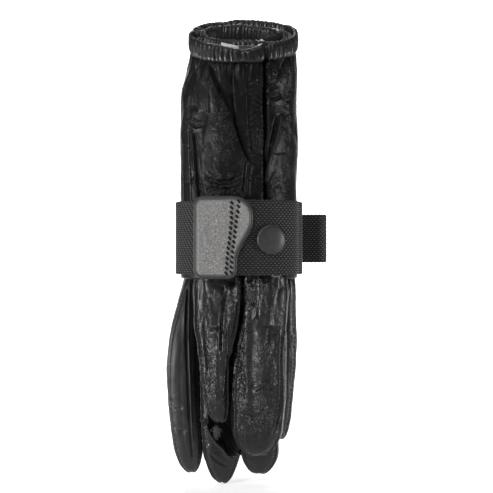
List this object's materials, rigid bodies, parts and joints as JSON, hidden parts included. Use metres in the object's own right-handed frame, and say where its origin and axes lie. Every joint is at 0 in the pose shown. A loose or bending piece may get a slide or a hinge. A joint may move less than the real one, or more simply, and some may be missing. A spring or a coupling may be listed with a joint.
{
  "type": "rolled leather gloves in a glove strap",
  "caption": "Pair of full-finger leather gloves rolled together and held by a snap-closed webbing glove strap with a moulded thumb tab and a belt loop.",
  "frame": {"origin": "centre of the belt loop's passage, behind the middle of the bundle and at the middle of the strap's width", "axes": "+Z along the gloves from the fingertips to the cuffs and along the belt's run through the loop; -Y towards the front, where the snap and thumb tab are; +X to the right as seen from the front"},
  "size_m": [0.0876, 0.0696, 0.2508],
  "materials": {
    "leather": "satin grained",
    "webbing": "woven nylon",
    "thread": "twisted thread",
    "snap_metal": "matt black",
    "tab_plastic": "fine texture",
    "lining": "knitted fleece",
    "elastic": "ribbed",
    "label": "woven tape"
  },
  "bodies": {
    "strap": {"wrap_webbing": "webbing", "snap_stud": "snap_metal", "snap_post": "snap_metal", "belt_loop_webbing": "webbing", "belt_loop_stitching": "thread"},
    "flap": {"flap_webbing": "webbing", "snap_cap": "snap_metal", "snap_socket": "snap_metal"},
    "tab": {"tab_webbing": "webbing", "thumb_tab": "tab_plastic", "tab_stitching": "thread"},
    "front_glove": {"front_glove_back": "leather", "front_glove_palm": "leather", "front_glove_palm_fold": "leather", "front_glove_thumb": "leather", "front_glove_index_finger": "leather", "front_glove_middle_finger": "leather", "front_glove_ring_finger": "leather", "front_glove_little_finger": "leather", "front_glove_fourchettes": "leather", "front_glove_cuff": "leather", "front_glove_cuff_elastic": "elastic", "front_glove_lining": "lining", "front_glove_points": "leather", "front_glove_label": "label"},
    "rear_glove": {"rear_glove_back": "leather", "rear_glove_palm": "leather", "rear_glove_thumb": "leather", "rear_glove_index_finger": "leather", "rear_glove_middle_finger": "leather", "rear_glove_ring_finger": "leather", "rear_glove_little_finger": "leather", "rear_glove_fourchettes": "leather", "rear_glove_cuff": "leather", "rear_glove_cuff_elastic": "elastic", "rear_glove_lining": "lining", "rear_glove_points": "leather"}
  },
  "joints": [
    {"name": "flap_bend", "type": "hinge", "parent": "strap", "child": "flap", "pos_m": [0.03194, -0.03974, 0], "axis": [0, 0, 1], "range_deg": [0, 120]},
    {"name": "tab_lift", "type": "hinge", "parent": "flap", "child": "tab", "pos_m": [0.0078, -0.05989, 0], "axis": [0, 0, 1], "range_deg": [0, 35]},
    {"name": "front_glove_draw", "type": "slide", "parent": "strap", "child": "front_glove", "axis": [0, 0, 1], "range_m": [0, 0.15]},
    {"name": "rear_glove_draw", "type": "slide", "parent": "strap", "child": "rear_glove", "axis": [0, 0, -1], "range_m": [0, 0.15]}
  ]
}
